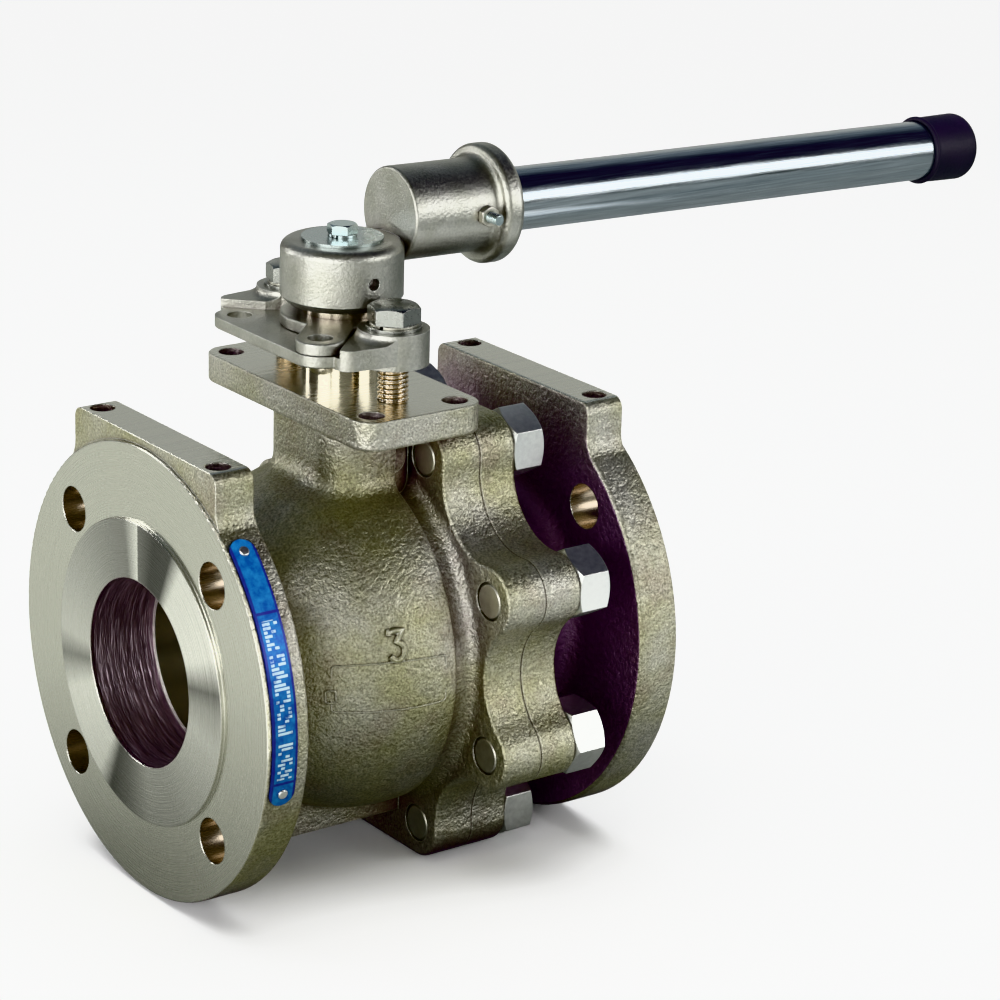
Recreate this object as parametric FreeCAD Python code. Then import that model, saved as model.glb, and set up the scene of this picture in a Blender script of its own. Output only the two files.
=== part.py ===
import FreeCAD
import Part
import math
import os

# Three-inch flanged ball valve with a lever handle, in millimetres.
# Origin: the centre of the ball.  +X runs down the pipe from the inlet flange to the
# outlet flange, +Z runs up the stem.  With the valve open the handle points along +X, and
# its tip hangs a little lower than its socket.

# --- pipe flanges (class 150, three inch) ---
inlet_face_x = -96.25
outlet_face_x = 106.95
flange_r = 95.25
raised_face_r = 63.5
raised_face_h = 1.6
flange_t = 19.1
pipe_bolt_circle_r = 76.2
pipe_bolt_hole_r = 9.525
cast_bore_r = 39.2
port_r = 38.1
port_land = 30.0          # depth of the wider cast mouth behind each face

# --- lugs on top of both flanges, with a tapped hole at each end ---
lug_top_z = 98.4
lug_half_width = 54.5
lug_t = 17.75
lug_corner_r = 5.0
lug_blend_r = 12.0
lug_hole_r = 5.25
lug_hole_y = 44.6
lug_hole_depth = 16.0
lug_hole_inset = 10.25    # from the raised face back to the hole's axis

# --- body bowl, joint flange and tailpiece ---
bowl_r = 75.0
cavity_r = 63.0
neck_r = 50.0
bowl_edge_x = 8.0
groove_r = 71.0
joint_front_x = 18.5
joint_x = 36.7
joint_back_x = 54.3
joint_bolt_circle_r = 87.5
lobe_r = 14.5
joint_valley_r = 79.5
lobe_count = 8
lobe_start_deg = 22.5
stud_r = 7.9375
stud_clearance = 0.15
nut_flat = 27.0           # across flats
nut_h = 15.5
nut_turn_deg = (11, 0, 0, 0, 24, 0, 0, -14)   # each nut's flat, turned up from -Y
foot_half_width = 20.0
foot_bottom_z = -79.5

# --- ball, seats and stem ---
ball_r = 60.0
seat_gap = 0.3
seat_inner_r = 38.4
seat_outer_r = 48.5
seat_near_x = 36.0
seat_far_x = 49.0
slot_width = 14.6
slot_floor_z = 48.0
tang_width = 14.0
tang_length = 30.0
stem_r = 12.0
stem_fit = 0.06
collar_r = 19.0
collar_z = (62.4, 68.0)
collar_pocket_r = 19.6
collar_pocket_top_z = 70.0
packing_r = 16.5
packing_floor_z = 78.0
packing_ring_count = 4
packing_ring_h = 5.0
stem_flat = 9.0           # half the distance across the two flats at the top
stem_flat_z = 132.9
stem_top_z = 166.8

# --- top plate and gland ---
plate_z = (97.7, 110.2)
plate_half = (29.6, 62.0)
plate_corner_r = 9.8
plate_hole_r = 5.4
plate_hole_xy = (20.1, 52.2)
neck_half = (21.0, 28.0)
neck_corner_r = 14.0
follower_top_z = 128.0
lock_plate_z = (128.0, 133.0)
gland_boss_z = (125.5, 140.0)
gland_boss_r = 14.5
stop_block_top_z = 136.4
stop_block_blend = 3.4     # where a block runs up to its bolt boss
gland_bolt_y = 37.6
gland_bolt_r = 6.35
gland_head_flat = 19.05   # across flats
ear_r = 10.25
ear_reach = 42.3          # ear hole's distance from the stem axis
ear_hole_r = 5.2
stop_gap = 10.0           # stop faces stand this far from the ear's centre line
stop_plate_z = (133.3, 138.0)
stop_plate_r = 25.0

# --- handle ---
handle_droop_deg = 1.4    # the handle's line slopes down this much towards its tip
hub_r = 25.2
hub_z = (142.3, 167.8)
socket_axis_z = 175.75    # height of the handle's line over the stem
socket_r = 19.5
socket_x = (22.8, 74.0)
bell_x = 64.5
bell_r = 25.0
tube_r = 13.335
tube_bore_r = 10.46
tube_x = (28.0, 334.0)
cap_r = 15.0
cap_x = (311.0, 338.0)
cap_tip_rounding = 5.0
tube_screw_x = 57.3
set_screw_z = 154.5
set_screw_deg = -2.7      # from the -Y side, seen from above

# --- identification plate on the inlet flange's rim ---
tag_x = (-93.0, -82.0)
tag_t = 1.0
tag_rivet_deg = (-12.2, 46.9)


def vec(x, y, z):
    return FreeCAD.Vector(x, y, z)


def box(x0, x1, y0, y1, z0, z1):
    return Part.makeBox(x1 - x0, y1 - y0, z1 - z0, vec(x0, y0, z0))


def rod_x(radius, x0, x1, y=0.0, z=0.0):
    return Part.makeCylinder(radius, x1 - x0, vec(x0, y, z), vec(1, 0, 0))


def rod_y(radius, y0, y1, x=0.0, z=0.0):
    return Part.makeCylinder(radius, y1 - y0, vec(x, y0, z), vec(0, 1, 0))


def rod_z(radius, z0, z1, x=0.0, y=0.0):
    return Part.makeCylinder(radius, z1 - z0, vec(x, y, z0), vec(0, 0, 1))


def joined(shapes):
    whole = shapes[0]
    if len(shapes) > 1:
        whole = shapes[0].fuse(shapes[1:])
    return whole.removeSplitter()


def turned_x(points, arcs=()):
    """Solid of revolution about the pipe axis from (x, radius) corners.

    arcs maps a corner's index to the middle point of an arc that ends there."""
    corners = [vec(x, 0, r) for x, r in points]
    edges = []
    middles = dict(arcs)
    for index, corner in enumerate(corners):
        start = corners[index - 1]
        if index in middles:
            x, r = middles[index]
            edges.append(Part.Arc(start, vec(x, 0, r), corner).toShape())
        else:
            edges.append(Part.LineSegment(start, corner).toShape())
    face = Part.Face(Part.Wire(Part.__sortEdges__(edges)))
    return face.revolve(vec(0, 0, 0), vec(1, 0, 0), 360)


def on_circle(radius, degrees):
    angle = math.radians(degrees)
    return radius * math.cos(angle), radius * math.sin(angle)


def rounded_slab(half_x, half_y, corner, z0, z1):
    slab = box(-half_x, half_x, -half_y, half_y, z0, z1)
    upright = [edge for edge in slab.Edges
               if abs(edge.Vertexes[0].Z - edge.Vertexes[1].Z) > 0.5 * (z1 - z0)]
    return slab.makeFillet(corner, upright)


def hull_of_circles(circles, z0, z1):
    """Slab whose outline is the tight band round two or more circles (x, y, r), in order."""
    tangents = []
    count = len(circles)
    for index in range(count):
        ax, ay, ar = circles[index]
        bx, by, br = circles[(index + 1) % count]
        span = math.hypot(bx - ax, by - ay)
        heading = math.atan2(by - ay, bx - ax)
        normal = heading - math.acos((ar - br) / span)
        nx, ny = math.cos(normal), math.sin(normal)
        tangents.append((normal, vec(ax + ar * nx, ay + ar * ny, z0), vec(bx + br * nx, by + br * ny, z0)))
    edges = []
    for index in range(count):
        normal_in, _, arrive = tangents[index - 1]
        normal_out, leave, _ = tangents[index]
        cx, cy, cr = circles[index]
        turn = (normal_out - normal_in) % (2 * math.pi)
        middle = normal_in + 0.5 * turn
        bulge = vec(cx + cr * math.cos(middle), cy + cr * math.sin(middle), z0)
        edges.append(Part.Arc(arrive, bulge, leave).toShape())
        edges.append(Part.LineSegment(leave, tangents[index][2]).toShape())
    return Part.Face(Part.Wire(Part.__sortEdges__(edges))).extrude(vec(0, 0, z1 - z0))


def hexagon(across_flats, axis_start, direction, height, flat_towards):
    """Hexagonal prism whose first flat faces flat_towards."""
    outward = vec(*flat_towards)
    along = vec(*direction)
    side = along.cross(outward)
    corner_r = across_flats / math.sqrt(3)
    corners = []
    for index in range(7):
        angle = math.radians(30 + 60 * index)
        corners.append(vec(*axis_start) + outward * (corner_r * math.cos(angle))
                       + side * (corner_r * math.sin(angle)))
    return Part.Face(Part.makePolygon(corners)).extrude(along * height)


def chamfered_hexagon(across_flats, axis_start, direction, height, flat_towards, both_ends):
    """Hexagon with the turned 30-degree chamfer that nuts and bolt heads have."""
    prism = hexagon(across_flats, axis_start, direction, height, flat_towards)
    base = vec(*axis_start)
    along = vec(*direction)
    corner_r = across_flats / math.sqrt(3)
    drop = (corner_r - 0.48 * across_flats) * math.tan(math.radians(30))
    start_r = corner_r + 0.01
    lower = drop if both_ends else 0.0
    body = Part.makeCylinder(start_r, height - drop - lower, base + along * lower, along)
    parts = [body, Part.makeCone(start_r, 0.48 * across_flats, drop, base + along * (height - drop), along)]
    if both_ends:
        parts.append(Part.makeCone(0.48 * across_flats, start_r, drop, base, along))
    return prism.common(joined(parts))


def circle_edges(shape, x, radius):
    """Edges of a turned part that are circles of this radius about the pipe axis at this x."""
    found = []
    for edge in shape.Edges:
        if isinstance(edge.Curve, Part.Circle):
            if abs(edge.Curve.Radius - radius) < 0.05 and abs(edge.Curve.Center.x - x) < 0.05:
                found.append(edge)
    return found


def round_circles(shape, roundings):
    for x, radius, fillet in roundings:
        shape = shape.makeFillet(fillet, circle_edges(shape, x, radius))
    return shape


def scalloped_slab(x0, x1):
    """Joint flange: eight round lobes joined by smooth valleys, with a flat web across the
    two top lobes and the two bottom lobes."""
    half_pitch = math.radians(180 / lobe_count)
    # A valley arc of this radius touches both of its lobes and dips to joint_valley_r.
    reach = joint_bolt_circle_r * math.cos(half_pitch)
    valley_r = ((joint_valley_r ** 2 + joint_bolt_circle_r ** 2 - 2 * joint_valley_r * reach - lobe_r ** 2)
                / (2 * (reach + lobe_r - joint_valley_r)))
    centre_r = joint_valley_r + valley_r

    def flat_valley(index):
        middle = lobe_start_deg + (index + 0.5) * 360 / lobe_count
        return round(middle) % 180 == 90

    def valley_touch(index, side):
        """Direction from lobe index towards the valley before (-1) or after (+1) it."""
        lobe_deg = lobe_start_deg + index * 360 / lobe_count
        valley_index = index if side > 0 else index - 1
        if flat_valley(valley_index):
            return 90.0 if 0 < lobe_deg % 360 < 180 else 270.0
        ly, lz = on_circle(joint_bolt_circle_r, lobe_deg)
        vy, vz = on_circle(centre_r, lobe_deg + side * 180 / lobe_count)
        return math.degrees(math.atan2(vz - lz, vy - ly)) % 360

    edges = []
    for index in range(lobe_count):
        lobe_deg = lobe_start_deg + index * 360 / lobe_count
        ly, lz = on_circle(joint_bolt_circle_r, lobe_deg)
        start_deg = valley_touch(index, -1)
        turn = (valley_touch(index, 1) - start_deg) % 360
        points = []
        for share in (0.0, 0.5, 1.0):
            dy, dz = on_circle(lobe_r, start_deg + share * turn)
            points.append(vec(x0, ly + dy, lz + dz))
        edges.append(Part.Arc(*points).toShape())
        after = (index + 1) % lobe_count
        after_deg = lobe_start_deg + after * 360 / lobe_count
        ay, az = on_circle(joint_bolt_circle_r, after_deg)
        dy, dz = on_circle(lobe_r, valley_touch(after, -1))
        far = vec(x0, ay + dy, az + dz)
        if flat_valley(index):
            edges.append(Part.LineSegment(points[2], far).toShape())
        else:
            my, mz = on_circle(joint_valley_r, lobe_deg + 180 / lobe_count)
            edges.append(Part.Arc(points[2], vec(x0, my, mz), far).toShape())
    return Part.Face(Part.Wire(Part.__sortEdges__(edges))).extrude(vec(x1 - x0, 0, 0))


def edges_at_x(shape, x):
    found = []
    for edge in shape.Edges:
        limits = edge.BoundBox
        if abs(limits.XMin - x) < 0.01 and abs(limits.XMax - x) < 0.01:
            found.append(edge)
    return found


def edges_at_z(shape, z):
    found = []
    for edge in shape.Edges:
        limits = edge.BoundBox
        if abs(limits.ZMin - z) < 0.01 and abs(limits.ZMax - z) < 0.01:
            found.append(edge)
    return found


def flange_lug(x0, x1):
    """Rectangular lug that rises over the flange rim, with rounded top corners and a concave
    blend down to the rim on both sides."""
    rim = flange_r - 0.25
    blend_y = lug_half_width + lug_blend_r
    blend_z = math.sqrt((rim + lug_blend_r) ** 2 - blend_y ** 2)
    share = rim / (rim + lug_blend_r)
    rim_angle = math.atan2(rim * blend_z / (rim + lug_blend_r) - blend_z, blend_y * share - blend_y)
    middle_angle = 0.5 * (rim_angle - math.pi)
    if math.cos(middle_angle) > 0:
        middle_angle += math.pi
    corner_y = lug_half_width - lug_corner_r
    corner_z = lug_top_z - lug_corner_r
    slant = lug_corner_r * math.sqrt(0.5)

    def side(sign):
        touch = vec(x0, sign * blend_y * share, blend_z * share)
        bend = vec(x0, sign * (blend_y + lug_blend_r * math.cos(middle_angle)),
                   blend_z + lug_blend_r * math.sin(middle_angle))
        foot = vec(x0, sign * lug_half_width, blend_z)
        shoulder = vec(x0, sign * lug_half_width, corner_z)
        corner = vec(x0, sign * (corner_y + slant), corner_z + slant)
        top = vec(x0, sign * corner_y, lug_top_z)
        return touch, [Part.Arc(touch, bend, foot).toShape(), Part.LineSegment(foot, shoulder).toShape(),
                       Part.Arc(shoulder, corner, top).toShape()], top

    left_touch, left_edges, left_top = side(-1)
    right_touch, right_edges, right_top = side(1)
    root_z = 60.0
    roots = [vec(x0, -50.0, root_z), vec(x0, 50.0, root_z)]
    edges = left_edges + right_edges
    edges.append(Part.LineSegment(left_top, right_top).toShape())
    edges.append(Part.LineSegment(left_touch, roots[0]).toShape())
    edges.append(Part.LineSegment(roots[0], roots[1]).toShape())
    edges.append(Part.LineSegment(roots[1], right_touch).toShape())
    return Part.Face(Part.Wire(Part.__sortEdges__(edges))).extrude(vec(x1 - x0, 0, 0))


def lug_holes(x):
    return [rod_z(lug_hole_r, lug_top_z - lug_hole_depth, lug_top_z + 1, x, sign * lug_hole_y)
            for sign in (-1, 1)]


def pipe_bolt_holes(x0, x1):
    holes = []
    for quarter in range(4):
        y, z = on_circle(pipe_bolt_circle_r, 45 + 90 * quarter)
        holes.append(rod_x(pipe_bolt_hole_r, x0, x1, y, z))
    return holes


def joint_places():
    places = []
    for index in range(lobe_count):
        places.append(on_circle(joint_bolt_circle_r, lobe_start_deg + index * 360 / lobe_count))
    return places


def rivet_place(degrees, radius):
    """Point on the inlet flange's rim, measured upwards from the -Y side."""
    angle = math.radians(degrees)
    return -radius * math.cos(angle), radius * math.sin(angle)


def make_turned_body():
    front = inlet_face_x + raised_face_h
    back = front + flange_t
    bowl_start_x = -math.sqrt(bowl_r ** 2 - neck_r ** 2)
    edge_r = math.sqrt(bowl_r ** 2 - bowl_edge_x ** 2)
    middle_x = 0.5 * (bowl_start_x + bowl_edge_x)
    blend = 6.5
    slant = blend * (1 - math.sqrt(0.5))
    points = [(inlet_face_x, 0), (inlet_face_x, raised_face_r), (front, raised_face_r), (front, flange_r),
              (back, flange_r), (back, neck_r), (bowl_start_x, neck_r), (bowl_edge_x, edge_r),
              (bowl_edge_x + 2.5, groove_r), (joint_front_x - blend, groove_r),
              (joint_front_x, groove_r + blend), (joint_x, groove_r + blend), (joint_x, 0)]
    arcs = {7: (middle_x, math.sqrt(bowl_r ** 2 - middle_x ** 2)),
            10: (joint_front_x - slant, groove_r + slant)}
    solid = turned_x(points, arcs)
    return round_circles(solid, [(back, neck_r, 7.0), (bowl_start_x, neck_r, 9.0), (back, flange_r, 2.0),
                                 (front, flange_r, 1.0), (bowl_edge_x, edge_r, 1.5)])


def make_neck_blend():
    """The stem neck with its wide blend onto the bowl."""
    neck = rounded_slab(neck_half[0], neck_half[1], neck_corner_r, 20.0, plate_z[0] + 1)
    dome = Part.makeSphere(bowl_r).cut(box(-80, 80, -80, 80, -80, 0))
    whole = dome.fuse(neck).removeSplitter()
    seam = []
    for edge in whole.Edges:
        middle = edge.valueAt(0.5 * (edge.FirstParameter + edge.LastParameter))
        if abs(middle.Length - bowl_r) < 0.2 and middle.z > 50:
            seam.append(edge)
    whole = whole.makeFillet(9.0, seam)
    return whole.common(box(-80, bowl_edge_x, -80, 80, 40, 200))


def make_top_plate():
    """Machined mounting plate on its neck, with a small blend under the plate."""
    plate = rounded_slab(plate_half[0], plate_half[1], plate_corner_r, plate_z[0], plate_z[1])
    plate = plate.makeFillet(2.0, edges_at_z(plate, plate_z[0]))
    plate = plate.makeChamfer(0.4, edges_at_z(plate, plate_z[1]))
    neck = rounded_slab(neck_half[0], neck_half[1], neck_corner_r, 62.0, plate_z[0])
    whole = plate.fuse(neck).removeSplitter()
    seam = []
    for edge in edges_at_z(whole, plate_z[0]):
        limits = edge.BoundBox
        reach_x = max(abs(limits.XMin), abs(limits.XMax))
        reach_y = max(abs(limits.YMin), abs(limits.YMax))
        if reach_x < neck_half[0] + 0.1 and reach_y < neck_half[1] + 0.1:
            seam.append(edge)
    return whole.makeFillet(3.0, seam)


def make_body_casting():
    front = inlet_face_x + raised_face_h
    back = front + flange_t
    flange = scalloped_slab(joint_front_x, joint_x)
    flange = flange.makeFillet(1.5, edges_at_x(flange, joint_front_x))
    flange = flange.makeChamfer(0.5, edges_at_x(flange, joint_x))
    lug = flange_lug(back - lug_t, back)
    lug = lug.makeFillet(1.2, [edge for edge in edges_at_x(lug, back) if edge.BoundBox.ZMin > 60.5])
    foot = box(-45, joint_front_x + 1, -foot_half_width, foot_half_width, foot_bottom_z, -60)
    foot = foot.makeFillet(2.0, [edge for edge in foot.Edges
                                 if edge.BoundBox.ZMax < foot_bottom_z + 0.1 and edge.BoundBox.XMax < 18])
    web_top = box(joint_front_x + 1.5, plate_half[0] - 3, -26, 26, 80, plate_z[0] + 2)
    solid = joined([make_turned_body(), make_neck_blend(), make_top_plate(), flange, lug, foot, web_top])
    cavity = joined([Part.makeSphere(cavity_r), rod_x(cavity_r, 0, joint_x + 1)])
    cuts = [cavity,
            rod_x(cast_bore_r, inlet_face_x - 1, inlet_face_x + port_land),
            rod_x(port_r, inlet_face_x, 0),
            rod_x(seat_outer_r + 0.1, -seat_far_x, 0),
            rod_x(68.0, joint_x - 3.0, joint_x + 1),
            rod_z(collar_pocket_r, 40, collar_pocket_top_z),
            rod_z(stem_r + stem_fit, 60, 120),
            rod_z(packing_r + 0.05, packing_floor_z, 120)]
    cuts += pipe_bolt_holes(front - 5, back + 5)
    cuts += lug_holes(inlet_face_x + lug_hole_inset)
    for y, z in joint_places():
        cuts.append(rod_x(stud_r + stud_clearance, joint_front_x - 10, joint_x + 1, y, z))
    for sign_x in (-1, 1):
        for sign_y in (-1, 1):
            cuts.append(rod_z(plate_hole_r, plate_z[0] - 5, plate_z[1] + 5,
                              sign_x * plate_hole_xy[0], sign_y * plate_hole_xy[1]))
    for sign in (-1, 1):
        cuts.append(rod_z(gland_bolt_r + 0.05, plate_z[0] - 1, plate_z[1] + 1, 0, sign * gland_bolt_y))
    for degrees in tag_rivet_deg:
        y, z = rivet_place(degrees, flange_r + 3)
        direction = vec(0, -y, -z).normalize()
        cuts.append(Part.makeCylinder(1.6, 9.0, vec(0.5 * (tag_x[0] + tag_x[1]), y, z), direction))
    return solid.cut(cuts)


def make_tailpiece():
    front = outlet_face_x - raised_face_h
    back = front - flange_t
    seat_pocket_x = seat_far_x
    points = [(joint_x, 0), (joint_x, 72.0), (joint_back_x, 72.0), (joint_back_x, neck_r), (back, neck_r),
              (back, flange_r), (front, flange_r), (front, raised_face_r), (outlet_face_x, raised_face_r),
              (outlet_face_x, 0)]
    turned = turned_x(points)
    turned = round_circles(turned, [(joint_back_x, neck_r, 8.0), (back, neck_r, 8.0),
                                    (back, flange_r, 2.0), (front, flange_r, 1.0)])
    flange = scalloped_slab(joint_x, joint_back_x)
    flange = flange.makeFillet(1.5, edges_at_x(flange, joint_back_x))
    flange = flange.makeChamfer(0.5, edges_at_x(flange, joint_x))
    lug = flange_lug(back, back + lug_t)
    lug = lug.makeFillet(1.2, [edge for edge in edges_at_x(lug, back) if edge.BoundBox.ZMin > 60.5])
    spigot = rod_x(cavity_r - 0.3, 30.0, joint_x).cut(rod_x(54.0, 29.0, joint_x))
    solid = joined([turned, flange, lug, spigot])
    cuts = [rod_x(cast_bore_r, outlet_face_x - port_land, outlet_face_x + 1),
            rod_x(port_r, joint_x - 1, outlet_face_x),
            rod_x(seat_outer_r + 0.1, joint_x - 1, seat_pocket_x),
            Part.makeSphere(ball_r + 1.5)]
    cuts += pipe_bolt_holes(back - 5, front + 5)
    cuts += lug_holes(outlet_face_x - lug_hole_inset)
    for y, z in joint_places():
        cuts.append(rod_x(stud_r + stud_clearance, joint_x - 1, joint_back_x + 1, y, z))
    return solid.cut(cuts)


def make_seat(side):
    """Soft seat ring with a spherical face that the ball bears on; side is -1 or +1."""
    x0, x1 = sorted((side * seat_near_x, side * seat_far_x))
    ring = rod_x(seat_outer_r, x0, x1).cut(rod_x(seat_inner_r, x0 - 1, x1 + 1))
    return ring.cut(Part.makeSphere(ball_r + seat_gap))


def make_ball():
    solid = Part.makeSphere(ball_r)
    slot = box(-0.5 * slot_width, 0.5 * slot_width, -ball_r, ball_r, slot_floor_z, ball_r + 1)
    return solid.cut([rod_x(port_r, -ball_r, ball_r), slot, rod_z(2.5, 20, slot_floor_z + 1)])


def make_stem():
    tang = box(-0.5 * tang_width, 0.5 * tang_width, -0.5 * tang_length, 0.5 * tang_length,
               slot_floor_z + 0.6, collar_z[0] + 0.5)
    solid = joined([tang, rod_z(collar_r, collar_z[0], collar_z[1]), rod_z(stem_r, collar_z[1] - 1, stem_top_z)])
    solid = solid.makeChamfer(0.8, edges_at_z(solid, stem_top_z))
    flats = [box(side * stem_flat, side * 20, -20, 20, stem_flat_z, stem_top_z + 1) if side > 0
             else box(-20, -stem_flat, -20, 20, stem_flat_z, stem_top_z + 1) for side in (-1, 1)]
    return solid.cut(flats + [rod_z(3.2, stem_top_z - 14, stem_top_z + 1)])


def double_flat_bore(z0, z1):
    """Bore that fits the two flats at the top of the stem."""
    reach = stem_flat + 0.05
    return rod_z(stem_r + 0.05, z0, z1).common(box(-reach, reach, -20, 20, z0, z1))


def ear_place(degrees):
    return on_circle(ear_reach, degrees)


def stop_boss(sign):
    """Bolt boss with a lower stop block that sweeps up to it."""
    boss = rod_z(gland_boss_r, *gland_boss_z, 0, sign * gland_bolt_y)
    block = hull_of_circles([(0.0, sign * gland_bolt_y, 13.5), (-24.0, sign * 42.0, 6.5)],
                            lock_plate_z[0], stop_block_top_z)
    solid = joined([boss, block])
    seam = [edge for edge in edges_at_z(solid, stop_block_top_z)
            if isinstance(edge.Curve, Part.Circle) and abs(edge.Curve.Radius - gland_boss_r) < 0.05]
    return solid.makeFillet(stop_block_blend, seam)


def make_gland_flange():
    """Fixed plate that presses the gland down.  It carries two padlock ears and, beside each
    bolt boss, a stop face for the handle's stop plate."""
    rear = (*ear_place(135), ear_r)
    fore = (*ear_place(225), ear_r)
    low = (0.0, -gland_bolt_y, gland_boss_r)
    high = (0.0, gland_bolt_y, gland_boss_r)
    plate = hull_of_circles([rear, fore, low, high], *lock_plate_z)
    plate = plate.makeFillet(1.0, edges_at_z(plate, lock_plate_z[0]))
    disc = rod_z(24.0, *lock_plate_z)
    solid = joined([plate, disc] + [stop_boss(sign) for sign in (-1, 1)])
    # The stop plate and its ear sweep this space, from one stop face round to the other.
    floor_z = stop_plate_z[0] - 0.3
    clearance = [rod_z(stop_plate_r + 0.6, floor_z, 150)]
    for degrees in (135, 225):
        lane = box(0, 60, -stop_gap, stop_gap, floor_z, 150)
        lane.rotate(vec(0, 0, 0), vec(0, 0, 1), degrees)
        clearance.append(lane)
    between = Part.makeCylinder(60, 20, vec(0, 0, floor_z), vec(0, 0, 1), 90)
    between.rotate(vec(0, 0, 0), vec(0, 0, 1), 135)
    clearance.append(between)
    holes = [rod_z(stem_r + 1.5, 120, 150)]
    for degrees in (135, 225):
        holes.append(rod_z(ear_hole_r, 120, 150, *ear_place(degrees)))
    for sign in (-1, 1):
        holes.append(rod_z(gland_bolt_r + 0.3, 120, 150, 0, sign * gland_bolt_y))
    return solid.cut(clearance + holes)


def make_stop_plate():
    """Plate on the stem with one padlock ear; it turns from one stop face to the other."""
    ex, ey = ear_place(225)
    disc = rod_z(stop_plate_r, *stop_plate_z)
    ear = hull_of_circles([(0.0, 0.0, ear_r - 0.5), (ex, ey, ear_r - 0.5)], *stop_plate_z)
    solid = joined([disc, ear])
    solid = solid.makeFillet(0.8, edges_at_z(solid, stop_plate_z[1]))
    return solid.cut([double_flat_bore(120, 150), rod_z(ear_hole_r, 120, 150, ex, ey)])


def drooped(shape):
    """Turns a piece built along +X to the slope of the handle's line."""
    shape.rotate(vec(0, 0, socket_axis_z), vec(0, 1, 0), handle_droop_deg)
    return shape


def set_screw_turned(shape):
    shape.rotate(vec(0, 0, 0), vec(0, 0, 1), set_screw_deg)
    return shape


def make_handle_hub():
    hub = rod_z(hub_r, *hub_z)
    hub = hub.makeFillet(4.0, edges_at_z(hub, hub_z[1]))
    hub = hub.makeChamfer(3.0, edges_at_z(hub, hub_z[0]))
    profile = turned_x([(socket_x[0], 0), (socket_x[0], socket_r), (bell_x, socket_r), (bell_x, bell_r),
                        (socket_x[1], bell_r), (socket_x[1], 0)])
    profile = round_circles(profile, [(bell_x, socket_r, 3.2), (bell_x, bell_r, 2.6),
                                      (socket_x[1], bell_r, 3.2), (socket_x[0], socket_r, 1.2)])
    profile.translate(vec(0, 0, socket_axis_z))
    solid = joined([hub, drooped(profile)])
    bore = drooped(rod_x(tube_r + 0.05, tube_x[0] - 0.2, socket_x[1] + 1, 0, socket_axis_z))
    set_screw = set_screw_turned(rod_y(2.5, -hub_r - 1, 0, 0, set_screw_z))
    tube_screw = drooped(rod_y(2.45, -socket_r - 1, 0, tube_screw_x, socket_axis_z))
    return solid.cut([bore, set_screw, tube_screw, double_flat_bore(hub_z[0] - 1, hub_z[1] + 1)])


def make_grip_cap():
    solid = rod_x(cap_r, *cap_x, 0, socket_axis_z)
    solid = solid.makeFillet(cap_tip_rounding, edges_at_x(solid, cap_x[1]))
    solid = solid.makeFillet(0.8, edges_at_x(solid, cap_x[0]))
    return drooped(solid.cut(rod_x(tube_r + 0.05, cap_x[0] - 1, tube_x[1] + 0.3, 0, socket_axis_z)))


def make_handle_tube():
    tube = rod_x(tube_r, *tube_x, 0, socket_axis_z)
    return drooped(tube.cut(rod_x(tube_bore_r, tube_x[0] - 1, tube_x[1] + 1, 0, socket_axis_z)))


def make_ring_z(outer, inner, z0, z1, x=0.0, y=0.0):
    return rod_z(outer, z0, z1, x, y).cut(rod_z(inner, z0 - 1, z1 + 1, x, y))


def make_gland_bolts():
    bolts = []
    for sign in (-1, 1):
        head = chamfered_hexagon(gland_head_flat, (0, sign * gland_bolt_y, 142.4), (0, 0, 1), 7.0,
                                 (math.cos(math.radians(-75)), math.sin(math.radians(-75)), 0), False)
        shank = rod_z(gland_bolt_r, 98.3, 142.9, 0, sign * gland_bolt_y)
        bolts.append(joined([shank, head]))
    return Part.makeCompound(bolts)


def make_gland_washers(outer, z0, z1):
    return Part.makeCompound([make_ring_z(outer, gland_bolt_r + 0.1, z0, z1, 0, sign * gland_bolt_y)
                              for sign in (-1, 1)])


def make_joint_studs():
    studs = []
    for y, z in joint_places():
        stud = rod_x(stud_r, joint_front_x + 0.2, joint_back_x + 15.3, y, z)
        stud = stud.makeChamfer(1.1, edges_at_x(stud, joint_front_x + 0.2)
                                + edges_at_x(stud, joint_back_x + 15.3))
        studs.append(stud)
    return Part.makeCompound(studs)


def make_joint_nuts():
    nuts = []
    for (y, z), degrees in zip(joint_places(), nut_turn_deg):
        turn = math.radians(degrees)
        nut = chamfered_hexagon(nut_flat, (joint_back_x + 0.05, y, z), (1, 0, 0), nut_h,
                                (0, -math.cos(turn), math.sin(turn)), True)
        nuts.append(nut.cut(rod_x(stud_r + 0.02, joint_back_x - 1, joint_back_x + nut_h + 1, y, z)))
    return Part.makeCompound(nuts)


def make_tag():
    """Curved identification plate with round ends, bent round the flange's rim."""
    inner = flange_r + 0.05
    outer = inner + tag_t
    middle_x = 0.5 * (tag_x[0] + tag_x[1])
    end_r = 0.5 * (tag_x[1] - tag_x[0])
    band = rod_x(outer, *tag_x).cut(rod_x(inner, tag_x[0] - 1, tag_x[1] + 1))
    sector = Part.makeCylinder(outer + 20, 20, vec(middle_x - 10, 0, 0), vec(1, 0, 0),
                               tag_rivet_deg[1] - tag_rivet_deg[0])
    # The cylinder's sector starts where its own local X lies, so it is turned to place below.
    start = sector.CenterOfMass
    now = math.degrees(math.atan2(start.z, -start.y))
    sector.rotate(vec(0, 0, 0), vec(1, 0, 0), -(0.5 * (tag_rivet_deg[0] + tag_rivet_deg[1]) - now))
    shapes = [sector]
    for degrees in tag_rivet_deg:
        y, z = rivet_place(degrees, flange_r - 5)
        shapes.append(Part.makeCylinder(end_r, 12, vec(middle_x, y, z), vec(0, y, z).normalize()))
    tag = band.common(joined(shapes))
    holes = []
    for degrees in tag_rivet_deg:
        y, z = rivet_place(degrees, flange_r - 5)
        holes.append(Part.makeCylinder(1.6, 12, vec(middle_x, y, z), vec(0, y, z).normalize()))
    return tag.cut(holes)


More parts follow.
